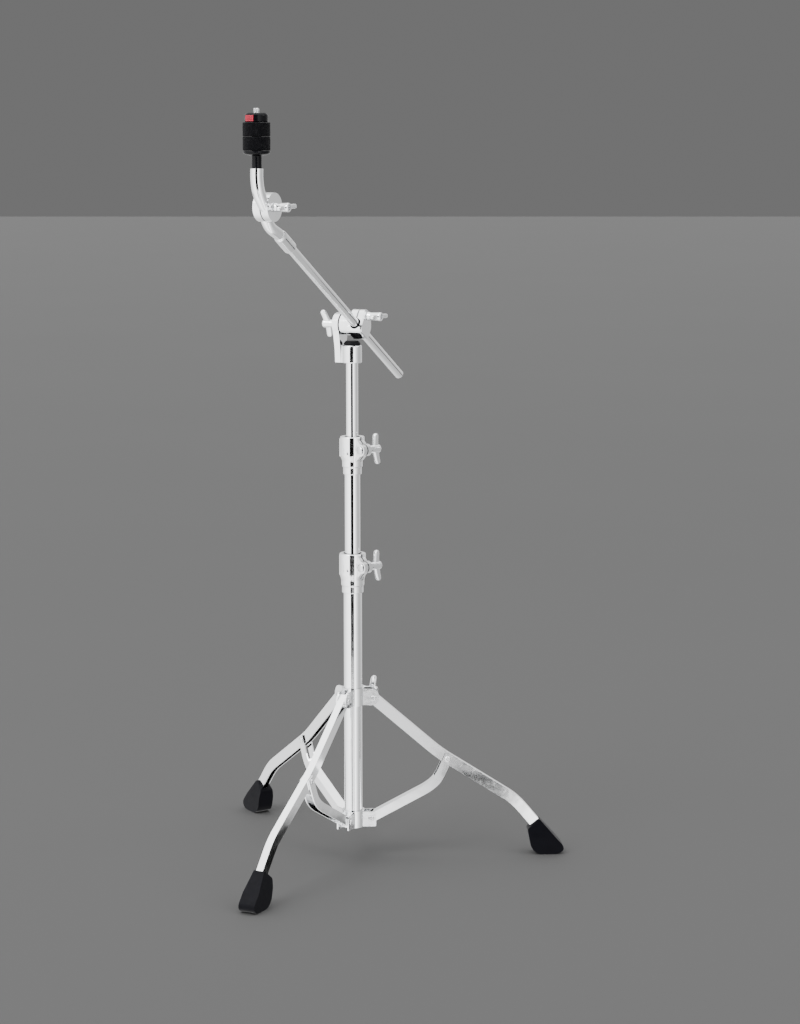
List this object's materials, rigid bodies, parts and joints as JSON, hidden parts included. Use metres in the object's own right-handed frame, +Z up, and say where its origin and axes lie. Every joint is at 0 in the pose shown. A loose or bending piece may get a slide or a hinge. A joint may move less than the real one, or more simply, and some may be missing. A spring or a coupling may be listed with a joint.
{
  "type": "cymbal boom stand",
  "caption": "Chrome tripod stand with telescoping tubes, a tilting boom rod and a felt-padded cymbal seat on a hinged tilter.",
  "frame": {"origin": "on the floor, under the middle of the bounding box of the opened stand", "axes": "+Z up along the tubes; the first leg points along +X within 3 degrees; the boom leans out over the third leg, at 242 degrees from +X towards +Y"},
  "size_m": [0.4762, 0.5338, 1.0515],
  "materials": {
    "chrome": "polished chrome plate",
    "cast_chrome": "chrome-plated die casting",
    "steel": "zinc-plated steel",
    "nylon": "matte",
    "black_plastic": "satin",
    "red_button": "satin",
    "rubber": "satin rubber",
    "felt": "pressed wool felt"
  },
  "bodies": {
    "base": {"base_tube": "chrome", "base_tube_plug": "nylon", "lower_collar": "cast_chrome", "stay_pin_1": "steel", "stay_pin_2": "steel", "stay_pin_3": "steel", "lower_clamp": "cast_chrome", "lower_clamp_bolt": "steel"},
    "lower_wing": {"lower_wing_nut": "cast_chrome"},
    "leg_collar": {"leg_collar": "cast_chrome", "leg_collar_bolt": "steel", "leg_pin_1": "steel", "leg_pin_2": "steel", "leg_pin_3": "steel"},
    "collar_wing": {"leg_collar_wing_nut": "cast_chrome"},
    "leg_1": {"leg_1": "chrome", "foot_1": "rubber"},
    "leg_2": {"leg_2": "chrome", "foot_2": "rubber"},
    "leg_3": {"leg_3": "chrome", "foot_3": "rubber"},
    "stay_1": {"stay_1": "chrome", "stay_rivet_1_left": "steel", "stay_rivet_1_right": "steel"},
    "stay_2": {"stay_2": "chrome", "stay_rivet_2_left": "steel", "stay_rivet_2_right": "steel"},
    "stay_3": {"stay_3": "chrome", "stay_rivet_3_left": "steel", "stay_rivet_3_right": "steel"},
    "lower_bushing": {"lower_bushing": "nylon"},
    "middle": {"middle_tube": "chrome", "upper_clamp": "cast_chrome", "upper_clamp_bolt": "steel"},
    "upper_wing": {"upper_wing_nut": "cast_chrome"},
    "upper_bushing": {"upper_bushing": "nylon"},
    "upper": {"upper_tube": "chrome", "upper_tube_cap": "nylon", "boom_bracket": "cast_chrome", "boom_brake_washer": "nylon"},
    "holder": {"boom_holder": "cast_chrome", "boom_hinge_stud": "steel", "rod_clamp_stud": "steel"},
    "hinge_wing": {"boom_hinge_wing_nut": "cast_chrome"},
    "rod_wing": {"rod_clamp_wing_nut": "cast_chrome"},
    "rod_sleeve": {"rod_sleeve": "nylon"},
    "rod": {"boom_rod": "chrome", "tilter_lower_arm": "cast_chrome", "tilter_stud": "steel"},
    "tilter_wing": {"tilter_wing_nut": "cast_chrome"},
    "tilter": {"tilter_upper_arm": "cast_chrome", "tilter_brake_washer": "nylon", "cymbal_post": "steel", "seat_sleeve": "black_plastic", "lower_felt": "felt", "upper_felt": "felt"},
    "quick_nut": {"quick_nut": "black_plastic"},
    "front_button": {"front_release_button": "red_button"},
    "back_button": {"back_release_button": "red_button"}
  },
  "joints": [
    {"name": "leg_collar_slide", "type": "slide", "parent": "base", "child": "leg_collar", "axis": [0, 0, 1], "range_m": [0, 0.093]},
    {"name": "leg_1_fold", "type": "hinge", "parent": "leg_collar", "child": "leg_1", "pos_m": [-0.03566, 0.0088, 0.231], "axis": [-0.0523, 0.9986, 0], "range_deg": [0, 35.58]},
    {"name": "stay_1_fold", "type": "hinge", "parent": "base", "child": "stay_1", "pos_m": [-0.03866, 0.00864, 0.056], "axis": [0.0523, -0.9986, 0], "range_deg": [0, 36.45]},
    {"name": "leg_2_fold", "type": "hinge", "parent": "leg_collar", "child": "leg_2", "pos_m": [-0.07887, 0.03082, 0.231], "axis": [-0.8387, -0.5446, 0], "range_deg": [0, 35.58]},
    {"name": "stay_2_fold", "type": "hinge", "parent": "base", "child": "stay_2", "pos_m": [-0.07724, 0.0283, 0.056], "axis": [0.8387, 0.5446, 0], "range_deg": [0, 36.45]},
    {"name": "leg_3_fold", "type": "hinge", "parent": "leg_collar", "child": "leg_3", "pos_m": [-0.07634, -0.01761, 0.231], "axis": [0.891, -0.454, 0], "range_deg": [0, 35.58]},
    {"name": "stay_3_fold", "type": "hinge", "parent": "base", "child": "stay_3", "pos_m": [-0.07497, -0.01494, 0.056], "axis": [-0.891, 0.454, 0], "range_deg": [0, 36.45]},
    {"name": "lower_swivel", "type": "hinge", "parent": "base", "child": "lower_bushing", "pos_m": [-0.06362, 0.00733, 0.43], "axis": [0, 0, 1], "continuous": true},
    {"name": "middle_tube_slide", "type": "slide", "parent": "lower_bushing", "child": "middle", "axis": [0, 0, 1], "range_m": [-0.1, 0.14]},
    {"name": "upper_swivel", "type": "hinge", "parent": "middle", "child": "upper_bushing", "pos_m": [-0.06362, 0.00733, 0.595], "axis": [0, 0, 1], "continuous": true},
    {"name": "upper_tube_slide", "type": "slide", "parent": "upper_bushing", "child": "upper", "axis": [0, 0, 1], "range_m": [-0.1, 0.18]},
    {"name": "boom_tilt", "type": "hinge", "parent": "upper", "child": "holder", "pos_m": [-0.06362, 0.00733, 0.76], "axis": [0.8829, -0.4695, 0], "range_deg": [-11, 76]},
    {"name": "rod_swivel", "type": "hinge", "parent": "holder", "child": "rod_sleeve", "pos_m": [-0.05277, -0.00207, 0.75493], "axis": [-0.3968, -0.7463, 0.5344], "continuous": true},
    {"name": "rod_slide", "type": "slide", "parent": "rod_sleeve", "child": "rod", "axis": [-0.3968, -0.7463, 0.5344], "range_m": [-0.19, 0.11]},
    {"name": "cymbal_tilt", "type": "hinge", "parent": "rod", "child": "tilter", "pos_m": [-0.17962, -0.21082, 0.92684], "axis": [0.8829, -0.4695, 0], "range_deg": [-75, 60]},
    {"name": "lower_wing_turn", "type": "hinge", "parent": "base", "child": "lower_wing", "pos_m": [-0.03576, 0.00069, 0.4215], "axis": [0.7071, 0.7071, 0], "continuous": true},
    {"name": "upper_wing_turn", "type": "hinge", "parent": "middle", "child": "upper_wing", "pos_m": [-0.03675, 0.00168, 0.5865], "axis": [0.7071, 0.7071, 0], "continuous": true},
    {"name": "collar_wing_turn", "type": "hinge", "parent": "leg_collar", "child": "collar_wing", "pos_m": [-0.04217, 0.02771, 0.2375], "axis": [0.9613, -0.2756, 0], "range_deg": [-18, 25]},
    {"name": "hinge_wing_turn", "type": "hinge", "parent": "holder", "child": "hinge_wing", "pos_m": [-0.09011, 0.02142, 0.76], "axis": [0.8829, -0.4695, 0], "continuous": true},
    {"name": "rod_wing_turn", "type": "hinge", "parent": "holder", "child": "rod_wing", "pos_m": [-0.03247, -0.00862, 0.77208], "axis": [0.8829, -0.4695, 0], "continuous": true},
    {"name": "tilter_wing_turn", "type": "hinge", "parent": "rod", "child": "tilter_wing", "pos_m": [-0.14872, -0.22726, 0.92684], "axis": [0.8829, -0.4695, 0], "continuous": true},
    {"name": "quick_nut_lift", "type": "slide", "parent": "tilter", "child": "quick_nut", "axis": [0, 0, 1], "range_m": [0, 0.03]},
    {"name": "front_button_press", "type": "slide", "parent": "quick_nut", "child": "front_button", "axis": [0.5736, 0.8192, 0], "range_m": [0, 0.0015], "stiffness_N_per_m": 400},
    {"name": "back_button_press", "type": "slide", "parent": "quick_nut", "child": "back_button", "axis": [-0.5736, -0.8192, 0], "range_m": [0, 0.0015], "stiffness_N_per_m": 400}
  ],
  "couplings": [
    {"joint": "leg_1_fold", "follows": "leg_collar_slide", "rad_per_m": 6.6781},
    {"joint": "stay_1_fold", "follows": "leg_collar_slide", "rad_per_m": 6.8397},
    {"joint": "leg_2_fold", "follows": "leg_collar_slide", "rad_per_m": 6.6781},
    {"joint": "stay_2_fold", "follows": "leg_collar_slide", "rad_per_m": 6.8397},
    {"joint": "leg_3_fold", "follows": "leg_collar_slide", "rad_per_m": 6.6781},
    {"joint": "stay_3_fold", "follows": "leg_collar_slide", "rad_per_m": 6.8397}
  ]
}
